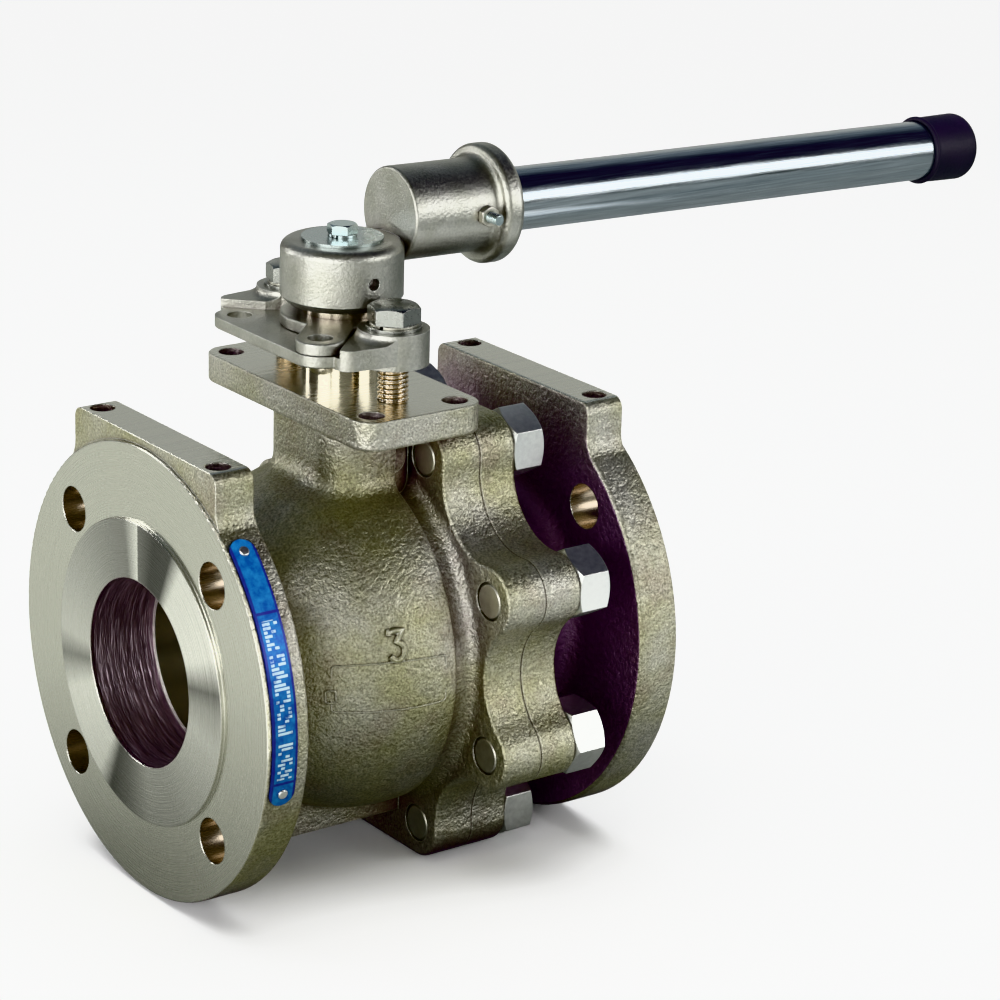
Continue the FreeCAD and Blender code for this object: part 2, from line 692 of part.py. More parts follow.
def make_tag_rivets():
    middle_x = 0.5 * (tag_x[0] + tag_x[1])
    top_r = flange_r + 0.05 + tag_t
    rivets = []
    for degrees in tag_rivet_deg:
        y, z = rivet_place(degrees, flange_r - 4.5)
        outward = vec(0, y, z).normalize()
        shank = Part.makeCylinder(1.55, 4.5 + tag_t + 0.3, vec(middle_x, y, z), outward)
        seat = vec(middle_x, *rivet_place(degrees, top_r))
        head = Part.makeCylinder(2.1, 0.9, seat, outward)
        head = head.makeFillet(0.6, [edge for edge in head.Edges if isinstance(edge.Curve, Part.Circle)
                                     and (edge.Curve.Center - seat).Length > 0.5])
        rivets.append(joined([shank, head]))
    return Part.makeCompound(rivets)


def make_packing_ring(index):
    z0 = packing_floor_z + index * packing_ring_h
    return make_ring_z(packing_r, stem_r + stem_fit, z0 + 0.02, z0 + packing_ring_h - 0.02)


def make_tube_screw():
    point_y = -tube_r - 0.05
    return drooped(rod_y(2.35, -socket_r - 9.5, point_y, tube_screw_x, socket_axis_z))


def make_tube_nut():
    nut = chamfered_hexagon(7.9, (tube_screw_x, -socket_r - 0.05, socket_axis_z), (0, -1, 0), 3.2,
                            (1, 0, 0), True)
    return drooped(nut.cut(rod_y(2.4, -socket_r - 10, 0, tube_screw_x, socket_axis_z)))


def make_hub_screw():
    shank = rod_z(3.15, stem_top_z - 12, 171.0)
    head = chamfered_hexagon(11.1, (0, 0, 170.4), (0, 0, 1), 3.9,
                             (math.cos(math.radians(-75)), math.sin(math.radians(-75)), 0), False)
    return joined([shank, head])


def make_hub_set_screw():
    screw = rod_y(2.45, -20.5, -stem_r - 0.05, 0, set_screw_z)
    socket = hexagon(2.5, (0, -21, set_screw_z), (0, 1, 0), 3.0, (1, 0, 0))
    return set_screw_turned(screw.cut(socket))


def build_all():
    nodes = {
        "body_casting": make_body_casting(),
        "tailpiece": make_tailpiece(),
        "joint_gasket": rod_x(67.9, joint_x - 2.9, joint_x - 0.05).cut(rod_x(63.1, 30, 40)),
        "joint_studs": make_joint_studs(),
        "joint_nuts": make_joint_nuts(),
        "inlet_seat": make_seat(-1),
        "outlet_seat": make_seat(1),
        "ball": make_ball(),
        "stem": make_stem(),
        "stem_thrust_washer": make_ring_z(collar_r, stem_r + stem_fit, collar_z[1] + 0.3,
                                          collar_pocket_top_z - 0.05),
        "gland_follower": make_ring_z(packing_r, stem_r + stem_fit,
                                      packing_floor_z + packing_ring_count * packing_ring_h + 0.05,
                                      follower_top_z - 0.02),
        "gland_flange": make_gland_flange(),
        "gland_bolts": make_gland_bolts(),
        "gland_washers": make_gland_washers(11.3, 140.02, 141.2),
        "gland_lock_washers": make_gland_washers(9.8, 141.22, 142.38),
        "stop_plate": make_stop_plate(),
        "hub_spacer": make_ring_z(16.0, stem_r + 0.1, stop_plate_z[1] + 0.02, hub_z[0] - 0.02),
        "handle_hub": make_handle_hub(),
        "hub_washer": make_ring_z(16.7, 3.3, hub_z[1] + 0.02, 169.1),
        "hub_lock_washer": make_ring_z(5.9, 3.3, 169.12, 170.38),
        "hub_screw": make_hub_screw(),
        "hub_set_screw": make_hub_set_screw(),
        "handle_tube": make_handle_tube(),
        "tube_set_screw": make_tube_screw(),
        "tube_jam_nut": make_tube_nut(),
        "grip_cap": make_grip_cap(),
        "identification_plate": make_tag(),
        "plate_rivets": make_tag_rivets(),
    }
    for index in range(packing_ring_count):
        nodes["packing_ring_%d" % (index + 1)] = make_packing_ring(index)
    return nodes


os.makedirs("parts", exist_ok=True)
for name, shape in build_all().items():
    shape.exportStep("parts/%s.step" % name)
    limits = shape.BoundBox
    print("%-22s solids %2d  valid %s  x %.1f..%.1f  y %.1f..%.1f  z %.1f..%.1f" % (
        name, len(shape.Solids), shape.isValid(), limits.XMin, limits.XMax,
        limits.YMin, limits.YMax, limits.ZMin, limits.ZMax))
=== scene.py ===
import math

import bmesh
import bpy
from mathutils import Matrix, Vector


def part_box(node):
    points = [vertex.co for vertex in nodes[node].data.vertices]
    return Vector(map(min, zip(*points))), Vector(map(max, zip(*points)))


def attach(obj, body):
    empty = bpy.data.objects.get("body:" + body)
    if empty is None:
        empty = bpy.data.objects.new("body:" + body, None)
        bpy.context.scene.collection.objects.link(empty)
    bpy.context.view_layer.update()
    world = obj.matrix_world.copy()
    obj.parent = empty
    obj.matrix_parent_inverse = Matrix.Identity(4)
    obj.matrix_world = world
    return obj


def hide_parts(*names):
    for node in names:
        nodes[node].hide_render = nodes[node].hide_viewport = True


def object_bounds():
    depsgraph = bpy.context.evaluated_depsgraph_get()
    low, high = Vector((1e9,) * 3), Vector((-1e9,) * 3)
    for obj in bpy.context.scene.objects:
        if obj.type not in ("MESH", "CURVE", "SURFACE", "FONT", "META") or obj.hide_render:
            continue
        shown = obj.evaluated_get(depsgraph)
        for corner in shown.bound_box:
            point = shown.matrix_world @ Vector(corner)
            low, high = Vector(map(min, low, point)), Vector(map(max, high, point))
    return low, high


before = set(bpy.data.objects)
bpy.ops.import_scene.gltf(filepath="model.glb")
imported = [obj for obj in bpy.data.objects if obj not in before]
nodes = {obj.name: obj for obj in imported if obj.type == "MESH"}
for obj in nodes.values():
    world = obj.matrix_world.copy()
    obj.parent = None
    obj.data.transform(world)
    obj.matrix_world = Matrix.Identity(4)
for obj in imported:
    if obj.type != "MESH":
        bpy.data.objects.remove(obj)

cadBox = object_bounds()
mm = 0.001
print("frame loaded:", len(nodes), "nodes")


# small helpers for the material nodes
noiseRange = (0.3, 0.7)   # most of a fine noise's values lie in this range
broadRange = (0.35, 0.65)


def newMaterial(name):
    material = bpy.data.materials.new(name)
    material.use_nodes = True
    return material, material.node_tree


def addNode(tree, kind, inputs=None, **settings):
    node = tree.nodes.new(kind)
    for key, value in settings.items():
        setattr(node, key, value)
    for key, value in (inputs or {}).items():
        if isinstance(value, bpy.types.NodeSocket):
            tree.links.new(value, node.inputs[key])
        else:
            node.inputs[key].default_value = value
    return node


def maths(tree, operation, a, b=0.0):
    return addNode(tree, "ShaderNodeMath", {0: a, 1: b}, operation=operation).outputs[0]


def mixColour(tree, share, a, b, blend="MIX"):
    node = addNode(tree, "ShaderNodeMix", {"Factor": share}, data_type="RGBA", blend_type=blend)
    for socket, value in ((node.inputs[6], a), (node.inputs[7], b)):
        if isinstance(value, bpy.types.NodeSocket):
            tree.links.new(value, socket)
        else:
            socket.default_value = (*value, 1.0)
    return node.outputs[2]


def mixValue(tree, share, a, b):
    return addNode(tree, "ShaderNodeMix", {"Factor": share, 2: a, 3: b}, data_type="FLOAT").outputs[0]


def remap(tree, value, low, high, outLow=0.0, outHigh=1.0):
    node = addNode(tree, "ShaderNodeMapRange", {"Value": value, "From Min": low, "From Max": high,
                                                "To Min": outLow, "To Max": outHigh})
    return node.outputs[0]


def noiseOf(tree, place, scale, detail=3.0, roughness=0.55, stretch=None):
    if stretch:
        place = addNode(tree, "ShaderNodeMapping", {"Vector": place, "Scale": stretch}).outputs[0]
    return addNode(tree, "ShaderNodeTexNoise", {"Vector": place, "Scale": scale, "Detail": detail,
                                                "Roughness": roughness}).outputs["Fac"]


def objectPlace(tree):
    return addNode(tree, "ShaderNodeTexCoord").outputs["Object"]


def splitPlace(tree, place):
    return addNode(tree, "ShaderNodeSeparateXYZ", {0: place}).outputs


def above(tree, value, limit):
    return maths(tree, "GREATER_THAN", value, limit)


def below(tree, value, limit):
    return maths(tree, "LESS_THAN", value, limit)


def anyOf(tree, masks):
    whole = masks[0]
    for mask in masks[1:]:
        whole = maths(tree, "MAXIMUM", whole, mask)
    return whole


def allOf(tree, masks):
    whole = masks[0]
    for mask in masks[1:]:
        whole = maths(tree, "MULTIPLY", whole, mask)
    return whole


def distance2d(tree, a, b):
    squares = maths(tree, "ADD", maths(tree, "POWER", a, 2.0), maths(tree, "POWER", b, 2.0))
    return maths(tree, "SQRT", squares)


def vectorMaths(tree, operation, a, b=(0.0, 0.0, 0.0)):
    return addNode(tree, "ShaderNodeVectorMath", {0: a, 1: b}, operation=operation).outputs["Vector"]


def scaled(tree, vector, factor):
    node = addNode(tree, "ShaderNodeVectorMath", {0: vector, "Scale": factor}, operation="SCALE")
    return node.outputs["Vector"]


def combined(tree, x=0.0, y=0.0, z=0.0):
    return addNode(tree, "ShaderNodeCombineXYZ", {0: x, 1: y, 2: z}).outputs[0]


def lineNoise(tree, value, scale, detail=2.0):   # noise along one number, for turned lines
    return addNode(tree, "ShaderNodeTexNoise", {"W": value, "Scale": scale, "Detail": detail},
                   noise_dimensions="1D").outputs["Fac"]


def dimmed(tree, colour, share):   # colour times one number
    grey = addNode(tree, "ShaderNodeCombineColor", {0: share, 1: share, 2: share}).outputs[0]
    return mixColour(tree, 1.0, colour, grey, "MULTIPLY")


def openness(tree, reach, low, high):   # 0 in a crevice, 1 in the open
    shut = addNode(tree, "ShaderNodeAmbientOcclusion", {"Distance": reach}, samples=6)
    return remap(tree, shut.outputs["AO"], low, high)


def roundedEdges(tree, radius):   # a normal that rounds the edges, and a mask of them
    soft = addNode(tree, "ShaderNodeBevel", {"Radius": radius}, samples=4).outputs[0]
    true = addNode(tree, "ShaderNodeNewGeometry").outputs["True Normal"]
    agree = addNode(tree, "ShaderNodeVectorMath", {0: soft, 1: true}, operation="DOT_PRODUCT")
    return soft, remap(tree, agree.outputs["Value"], 0.985, 0.80)


def finishMetal(tree, colour, roughness, normal):
    shader = tree.nodes["Principled BSDF"]
    shader.inputs["Metallic"].default_value = 1.0
    tree.links.new(colour, shader.inputs["Base Color"])
    tree.links.new(roughness, shader.inputs["Roughness"])
    tree.links.new(normal, shader.inputs["Normal"])


# the two stainless castings
castLook = {
    "light": (0.52, 0.51, 0.45), "olive": (0.42, 0.41, 0.26), "brown": (0.34, 0.29, 0.23),
    # the dark purple colour on the next line is painted shade for hollows, and the dark brown beside it is
    # painted shade for tight creases
    "recessShade": (0.085, 0.025, 0.080), "creaseShade": (0.055, 0.042, 0.030), "worn": (0.82, 0.81, 0.73),
    # the near-white colour on the next line is a painted highlight for the raised faces
    "machined": (0.64, 0.64, 0.57), "fanHighlight": (0.97, 0.97, 0.90), "drilled": (0.44, 0.37, 0.28),
    "bore": (0.36, 0.29, 0.33), "port": (0.62, 0.62, 0.58), "shaded": (0.22, 0.11, 0.23),
    "patch": 20.0, "patchRange": (0.36, 0.64), "stains": 52.0, "stainRange": (0.52, 0.75), "stainShare": 0.6,
    "grain": 1050.0, "grainRange": (0.32, 0.68), "grainShade": (0.62, 1.30), "castRoughness": (0.38, 0.52),
    "pits": 420.0, "grainHeight": 0.55, "pitHeight": 0.9, "grainBump": 0.00066, "cutSmooth": 0.96,
    "turnedLines": 2600.0, "turnedShade": (0.95, 1.04), "machinedRoughness": (0.20, 0.30),
    "streaks": 60.0, "streakStretch": (9.0, 1.0, 1.0), "streakShade": (0.55, 1.45), "streakHeight": 2.2,
    # how far and how strongly the painted shade in hollows and in tight creases reaches
    "edge": 0.0008, "recessShadeReach": 0.030, "recessShadeRange": (0.12, 0.80),
    "creaseShadeReach": 0.0028, "creaseShadeRange": (0.42, 0.92), "shadedShare": 0.85,
    "faceSlope": 0.10, "raisedSlope": 0.9,
    "highlightFans": ((0, 0.24), (12, 0.10), (24, 0.11), (32, 0.98), (66, 1.0), (80, 0.22), (88, 0.48), (102, 0.74),
             (130, 0.62), (150, 0.52), (172, 0.52), (190, 0.24), (202, 0.13), (211, 0.98), (246, 1.0),
             (260, 0.32), (270, 0.74), (300, 0.56), (330, 0.38), (350, 0.30)),
}   # each fan stop is degrees from the top and a share of the painted highlight's brightness; the turn ends at full brightness
castPlaces = {   # where a cutter has been, and where shade is painted, in metres; the inlet side is -1 and the outlet side 1
    "faceFrom": {-1: 0.0944, 1: 0.1051}, "raisedFrom": {-1: 0.0958, 1: 0.1065}, "raisedRadius": 0.0637,
    "lugTop": 0.0981, "lugFrom": 0.070, "plateTop": 0.11015,
    "holeOffset": 0.05388, "holeRadius": 0.00956, "holeFrom": 0.0750,
    "boreRadius": 0.0394, "boreFrom": {-1: 0.0660, 1: 0.0767},
    "shadedX": (0.0548, 0.0864), "shadedZ": (0.100, 0.066), "shadedShares": (0.15, 1.0),
}


def castZones(tree, places, x, y, z, side):
    reach = maths(tree, "MULTIPLY", x, side)
    radius = distance2d(tree, y, z)
    face = above(tree, reach, places["faceFrom"][side])
    raised = allOf(tree, [above(tree, reach, places["raisedFrom"][side]),
                          below(tree, radius, places["raisedRadius"])])
    lugTop = allOf(tree, [above(tree, z, places["lugTop"]), above(tree, reach, places["lugFrom"])])
    plateTop = above(tree, z, places["plateTop"])
    foldedY = maths(tree, "SUBTRACT", maths(tree, "ABSOLUTE", y), places["holeOffset"])
    foldedZ = maths(tree, "SUBTRACT", maths(tree, "ABSOLUTE", z), places["holeOffset"])
    hole = allOf(tree, [below(tree, distance2d(tree, foldedY, foldedZ), places["holeRadius"]),
                        above(tree, reach, places["holeFrom"])])
    inside = below(tree, radius, places["boreRadius"])
    bore = allOf(tree, [inside, above(tree, reach, places["boreFrom"][side])])
    shaded = allOf(tree, [above(tree, x, places["shadedX"][0]), below(tree, x, places["shadedX"][1]),
                          remap(tree, z, *places["shadedZ"], *places["shadedShares"])])
    return {"radius": radius, "face": face, "raised": raised, "flat": anyOf(tree, [lugTop, plateTop]),
            "hole": hole, "bore": bore, "port": maths(tree, "SUBTRACT", inside, bore), "shaded": shaded}


def fanHighlightShare(tree, look, y, z, side):   # painted highlight: bright and dark fans on a raised face, standing in for the reflections in its turned lines
    turn = maths(tree, "ARCTAN2", maths(tree, "MULTIPLY", y, side), z)
    turn = maths(tree, "FRACT", maths(tree, "ADD", maths(tree, "MULTIPLY", turn, 1.0 / math.tau), 1.0))
    ramp = addNode(tree, "ShaderNodeValToRGB", {"Fac": turn})
    stops = ramp.color_ramp.elements
    for index, (degrees, share) in enumerate(look["highlightFans"]):
        stop = stops[index] if index < 1 else stops.new(degrees / 360.0)
        stop.position = degrees / 360.0
        stop.color = (share, share, share, 1.0)
    return ramp.outputs["Color"]


def castMaterial(name, look, places, side):
    material, tree = newMaterial(name)
    place = objectPlace(tree)
    x, y, z = splitPlace(tree, place)
    zones = castZones(tree, places, x, y, z, side)
    flat = anyOf(tree, [zones["face"], zones["flat"]])
    cut = anyOf(tree, [zones["face"], zones["flat"], zones["hole"], zones["port"]])
    normal, edge = roundedEdges(tree, look["edge"])
    patches = noiseOf(tree, place, look["patch"], 4.0, 0.6)
    grain = noiseOf(tree, place, look["grain"], 2.0, 0.6)
    pits = noiseOf(tree, place, look["pits"], 2.0, 0.5)
    streaks = noiseOf(tree, place, look["streaks"], 3.0, 0.6, look["streakStretch"])
    lines = lineNoise(tree, zones["radius"], look["turnedLines"])
    # the cast skin, from clean metal to painted shade in its hollows and tight creases
    colour = mixColour(tree, remap(tree, patches, *look["patchRange"]), look["olive"], look["light"])
    stains = noiseOf(tree, place, look["stains"], 3.0)
    stains = remap(tree, stains, *look["stainRange"], 0.0, look["stainShare"])
    colour = mixColour(tree, stains, colour, look["brown"])
    colour = dimmed(tree, colour, remap(tree, grain, *look["grainRange"], *look["grainShade"]))
    # painted shade, in hollows and in tight creases such as around the foundry marks
    for key in ("recessShade", "creaseShade"):
        colour = mixColour(tree, openness(tree, look[key + "Reach"], *look[key + "Range"]), look[key], colour)
    # painted shade, dark purple, on a fixed band between the joint and outlet flanges, strongest low down and
    # fading upward
    shaded = maths(tree, "MULTIPLY", zones["shaded"], look["shadedShare"])
    colour = mixColour(tree, shaded, colour, look["shaded"])
    # turned faces, with a painted highlight on the raised ones, the rough mouth of the bore, the bored port
    # and the drilled holes
    fanHighlight = mixColour(tree, 1.0, look["fanHighlight"], fanHighlightShare(tree, look, y, z, side), "MULTIPLY")
    turnedWithHighlight = mixColour(tree, zones["raised"], look["machined"], fanHighlight)
    turnedWithHighlight = dimmed(tree, turnedWithHighlight, remap(tree, lines, *noiseRange, *look["turnedShade"]))
    mouth = dimmed(tree, look["bore"], remap(tree, streaks, *noiseRange, *look["streakShade"]))
    for mask, finish in ((flat, turnedWithHighlight), (zones["bore"], mouth), (zones["port"], look["port"]),
                         (zones["hole"], look["drilled"]), (edge, look["worn"])):
        colour = mixColour(tree, mask, colour, finish)
    roughness = mixValue(tree, cut, remap(tree, pits, *noiseRange, *look["castRoughness"]),
                         remap(tree, lines, *noiseRange, *look["machinedRoughness"]))
    # the turned lines tilt the normal outward and inward
    outward = vectorMaths(tree, "NORMALIZE", combined(tree, 0.0, y, z))
    slope = mixValue(tree, zones["raised"], look["faceSlope"], look["raisedSlope"])
    slope = allOf(tree, [slope, zones["face"], maths(tree, "SUBTRACT", lines, 0.5)])
    normal = vectorMaths(tree, "NORMALIZE", vectorMaths(tree, "ADD", normal, scaled(tree, outward, slope)))
    height = maths(tree, "ADD", maths(tree, "MULTIPLY", grain, look["grainHeight"]),
                   maths(tree, "MULTIPLY", pits, look["pitHeight"]))
    height = mixValue(tree, zones["bore"], height, maths(tree, "MULTIPLY", streaks, look["streakHeight"]))
    strength = maths(tree, "SUBTRACT", 1.0, maths(tree, "MULTIPLY", cut, look["cutSmooth"]))
    bump = addNode(tree, "ShaderNodeBump", {"Height": height, "Distance": look["grainBump"],
                                            "Strength": strength, "Normal": normal})
    finishMetal(tree, colour, roughness, bump.outputs[0])
    return material


def dress(material, *names):
    for name in names:
        mesh = nodes[name].data
        mesh.materials.clear()
        mesh.materials.append(material)


castBody = castMaterial("castBody", castLook, castPlaces, -1)
dress(castBody, "body_casting")
dress(castMaterial("castTailpiece", castLook, castPlaces, 1), "tailpiece")
print("castings dressed")


# small machined and cast hardware
recessShadeReach, recessShadeRange = 0.008, (0.10, 0.75)   # painted shade in hollows: a reach in metres, and how open a spot has to be


def metal(name, colour, tint, roughness, grain=500.0, bump=0.00002, edge=0.0005, worn=(0.88, 0.88, 0.85),
          stretch=None, recessShade=None, mottle=(0.92, 1.06)):
    material, tree = newMaterial(name)
    place = objectPlace(tree)
    softNormal, edgeMask = roundedEdges(tree, edge)
    fine = noiseOf(tree, place, grain, 3.0, 0.6, stretch)
    broad = noiseOf(tree, place, grain * 0.08, 2.0, 0.5, stretch)
    mixed = mixColour(tree, remap(tree, broad, *broadRange), colour, tint)
    mixed = dimmed(tree, mixed, remap(tree, fine, *noiseRange, *mottle))
    # painted shade in the part's hollows
    if recessShade:
        mixed = mixColour(tree, openness(tree, recessShadeReach, *recessShadeRange), recessShade, mixed)
    mixed = mixColour(tree, edgeMask, mixed, worn)
    rough = remap(tree, fine, *noiseRange, *roughness)
    relief = addNode(tree, "ShaderNodeBump", {"Height": fine, "Distance": bump, "Normal": softNormal})
    finishMetal(tree, mixed, rough, relief.outputs[0])
    return material


hardware = metal("castHardware", (0.50, 0.50, 0.46), (0.42, 0.42, 0.37), (0.30, 0.42), 950.0, 0.00024,
                 recessShade=(0.12, 0.09, 0.09), mottle=(0.84, 1.12))
polished = metal("polishedSteel", (0.66, 0.62, 0.52), (0.58, 0.53, 0.42), (0.06, 0.12), 300.0, 0.000002)
nutSteel = metal("nutSteel", (0.84, 0.85, 0.82), (0.76, 0.78, 0.76), (0.28, 0.38), 500.0, 0.00001)
studSteel = metal("studSteel", (0.66, 0.65, 0.57), (0.58, 0.56, 0.48), (0.30, 0.42), 500.0, 0.00003)
boltSteel = metal("boltSteel", (0.36, 0.37, 0.35), (0.30, 0.31, 0.29), (0.24, 0.34), 400.0, 0.000004,
                  edge=0.0003)
threadSteel = metal("threadSteel", (0.66, 0.56, 0.40), (0.56, 0.46, 0.32), (0.16, 0.28), 500.0, 0.00001)
zinc = metal("zincPlate", (0.60, 0.68, 0.68), (0.50, 0.62, 0.63), (0.18, 0.28), 400.0, 0.000004, 0.0002)
washerZinc = metal("washerZinc", (0.50, 0.56, 0.56), (0.44, 0.52, 0.52), (0.24, 0.30), 200.0, 0.0000004,
                   edge=0.00015)
tube = metal("drawnTube", (0.58, 0.63, 0.66), (0.44, 0.50, 0.54), (0.12, 0.26), 1500.0, 0.000015,
             stretch=(0.02, 1.0, 1.0), mottle=(0.72, 1.16))
dress(hardware, "gland_flange", "stop_plate", "handle_hub")
dress(polished, "ball", "stem", "gland_follower", "hub_spacer")
dress(nutSteel, "joint_nuts", "plate_rivets")
dress(studSteel, "joint_studs", "tube_jam_nut", "gland_lock_washers")
dress(boltSteel, "gland_bolts", "gland_washers")
dress(zinc, "hub_screw", "tube_set_screw")
dress(nutSteel, "hub_set_screw")
dress(washerZinc, "hub_washer", "hub_lock_washer")
dress(tube, "handle_tube")
print("hardware dressed")


# plastics, graphite and the identification plate
def plastic(name, colour, tint, roughness, grain=600.0, bump=0.00004):
    material, tree = newMaterial(name)
    place = objectPlace(tree)
    fine = noiseOf(tree, place, grain, 3.0)
    broad = noiseOf(tree, place, grain * 0.1)
    mixed = mixColour(tree, remap(tree, broad, *broadRange), colour, tint)
    shader = tree.nodes["Principled BSDF"]
    tree.links.new(mixed, shader.inputs["Base Color"])
    tree.links.new(remap(tree, fine, *noiseRange, *roughness), shader.inputs["Roughness"])
    relief = addNode(tree, "ShaderNodeBump", {"Height": fine, "Distance": bump})
    tree.links.new(relief.outputs[0], shader.inputs["Normal"])
    return material


vinyl = plastic("blackVinyl", (0.005, 0.003, 0.012), (0.008, 0.004, 0.016), (0.48, 0.60), 900.0, 0.00008)
seatPlastic = plastic("seatPlastic", (0.82, 0.80, 0.74), (0.76, 0.74, 0.68), (0.3, 0.4))
graphite = plastic("graphite", (0.05, 0.05, 0.055), (0.08, 0.08, 0.085), (0.4, 0.55))
dress(vinyl, "grip_cap")
dress(seatPlastic, "inlet_seat", "outlet_seat", "stem_thrust_washer")
dress(graphite, "joint_gasket", *["packing_ring_%d" % (index + 1) for index in range(4)])

tagLook = {   # lengths in metres, measured along the plate from its lower end
    "ground": (0.0, 0.055, 0.27), "worn": (0.02, 0.17, 0.42), "border": (0.02, 0.012, 0.17),
    "mark": (0.52, 0.70, 0.80), "radius": 0.0963, "halfWidth": 0.0055, "rim": 0.0010, "inkHalf": 0.0033,
    "rowLength": 0.0016, "rowGap": 0.34, "marks": (0.012, 0.076), "columns": 6, "blank": 0.46,
    "crossLines": (0.079, 0.0102), "lineHalf": 0.0006, "lineShare": 0.85, "metallic": 0.35,
    "roughness": (0.28, 0.48), "wear": 260.0, "wornRange": (0.38, 0.66), "inkRange": (0.30, 0.50),
    "relief": 0.0001,
}


def tagMaterial(look):   # worn blue with rows of plain blocks
    low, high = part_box("identification_plate")
    material, tree = newMaterial("blueTag")
    place = objectPlace(tree)
    x, y, z = splitPlace(tree, place)
    across = maths(tree, "SUBTRACT", x, 0.5 * (low.x + high.x))
    offCentre = maths(tree, "ABSOLUTE", across)
    lift = maths(tree, "ARCTAN2", z, maths(tree, "MULTIPLY", y, -1.0))
    bottom = math.asin(low.z / look["radius"])
    along = maths(tree, "MULTIPLY", maths(tree, "SUBTRACT", lift, bottom), look["radius"])
    column = maths(tree, "MULTIPLY", across, look["columns"] * 0.5 / look["halfWidth"])
    row = maths(tree, "MULTIPLY", along, 1.0 / look["rowLength"])
    cell = combined(tree, maths(tree, "FLOOR", column), maths(tree, "FLOOR", row), 3.0)
    chance = addNode(tree, "ShaderNodeTexWhiteNoise", {"Vector": cell}).outputs["Value"]
    inRow = above(tree, maths(tree, "FRACT", row), look["rowGap"])
    inked = allOf(tree, [above(tree, chance, look["blank"]), inRow, above(tree, along, look["marks"][0]),
                         below(tree, along, look["marks"][1]),
                         below(tree, offCentre, look["inkHalf"])])
    lines = [above(tree, offCentre, look["halfWidth"] - look["rim"])]
    for height in look["crossLines"]:
        gap = maths(tree, "ABSOLUTE", maths(tree, "SUBTRACT", along, height))
        lines.append(below(tree, gap, look["lineHalf"]))
    frameLine = maths(tree, "MULTIPLY", anyOf(tree, lines), look["lineShare"])
    wear = noiseOf(tree, place, look["wear"], 4.0, 0.65)
    colour = mixColour(tree, remap(tree, wear, *look["wornRange"]), look["ground"], look["worn"])
    marked = maths(tree, "MULTIPLY", inked, remap(tree, wear, *look["inkRange"]))
    colour = mixColour(tree, marked, colour, look["mark"])
    colour = mixColour(tree, frameLine, colour, look["border"])
    shader = tree.nodes["Principled BSDF"]
    shader.inputs["Metallic"].default_value = look["metallic"]
    tree.links.new(colour, shader.inputs["Base Color"])
    tree.links.new(remap(tree, wear, *noiseRange, *look["roughness"]), shader.inputs["Roughness"])
    relief = addNode(tree, "ShaderNodeBump", {"Height": maths(tree, "ADD", wear, inked),
                                              "Distance": look["relief"]})
    tree.links.new(relief.outputs[0], shader.inputs["Normal"])
    return material


dress(tagMaterial(tagLook), "identification_plate")
print("plastics dressed")


# helpers that make meshes
def makePiece(name, bm, material, body, replaced=(), creaseAngle=32.0):
    mesh = bpy.data.meshes.new(name)
    bm.to_mesh(mesh)
    bm.free()
    mesh.materials.append(material)
    mesh.polygons.foreach_set("use_smooth", [True] * len(mesh.polygons))
    mesh.set_sharp_from_angle(angle=math.radians(creaseAngle))
    piece = bpy.data.objects.new(name, mesh)
    bpy.context.scene.collection.objects.link(piece)
    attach(piece, body)
    if replaced:
        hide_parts(*replaced)


def fillHoles(bm):
    bmesh.ops.holes_fill(bm, edges=[edge for edge in bm.edges if edge.is_boundary], sides=0)
    bmesh.ops.recalc_face_normals(bm, faces=bm.faces)


def cutOff(bm, height, inward):   # keeps what lies above a height, or below it where inward is -1
    everything = bm.verts[:] + bm.edges[:] + bm.faces[:]
    bmesh.ops.bisect_plane(bm, geom=everything, dist=1e-7, plane_co=(0, 0, height), plane_no=(0, 0, inward),
                           clear_inner=True)


def profileLine(bm, corners):   # an open line of (radius, height) corners, ready to spin about Z
    line = [bm.verts.new((radius, 0.0, height)) for radius, height in corners]
    edges = [bm.edges.new(pair) for pair in zip(line, line[1:])]
    return line + edges


def lathe(corners, steps=72):
    bm = bmesh.new()
    bmesh.ops.spin(bm, geom=profileLine(bm, corners), axis=(0, 0, 1), cent=(0, 0, 0), angle=math.tau,
                   steps=steps, use_merge=True)
    bmesh.ops.remove_doubles(bm, verts=bm.verts, dist=1e-6)
    bmesh.ops.recalc_face_normals(bm, faces=bm.faces)
    return bm


def threadedRod(look, low, high):   # V thread between two heights on the Z axis
    bm = bmesh.new()
    pitch, crest = look["pitch"], look["radius"]
    root = crest - 0.60 * pitch
    start = low - pitch
    turns = math.ceil((high - low) / pitch) + 2
    corners = [(crest, 0.0), (crest, 0.10), (root, 0.46), (root, 0.64), (crest, 1.0)]
    profile = profileLine(bm, [(radius, start + share * pitch) for radius, share in corners])
    bmesh.ops.spin(bm, geom=profile, axis=(0, 0, 1), cent=(0, 0, 0), dvec=(0, 0, pitch / look["steps"]),
                   angle=math.tau * turns, steps=look["steps"] * turns)
    bmesh.ops.remove_doubles(bm, verts=bm.verts, dist=0.01 * pitch)
    cutOff(bm, low, 1)
    cutOff(bm, high, -1)
    fillHoles(bm)
    return bm


def addCopy(target, source, matrix):
    mesh = bpy.data.meshes.new("part")
    source.to_mesh(mesh)
    mesh.transform(matrix)
    target.from_mesh(mesh)
    bpy.data.meshes.remove(mesh)


def splitRing(look):   # spring lock washer, one end lifted by the rise, on the Z axis
    inner, outer, height = look["inner"], look["outer"], look["height"]
    bm = bmesh.new()
    corners = [(inner, 0.0), (outer, 0.0), (outer, height), (inner, height), (inner, 0.0)]
    profile = profileLine(bm, corners)
    lift = (0, 0, look["rise"] / look["steps"])
    bmesh.ops.spin(bm, geom=profile, axis=(0, 0, 1), cent=(0, 0, 0), dvec=lift,
                   angle=math.radians(look["turn"]), steps=look["steps"])
    bmesh.ops.remove_doubles(bm, verts=bm.verts, dist=1e-6)
    fillHoles(bm)
    return bm


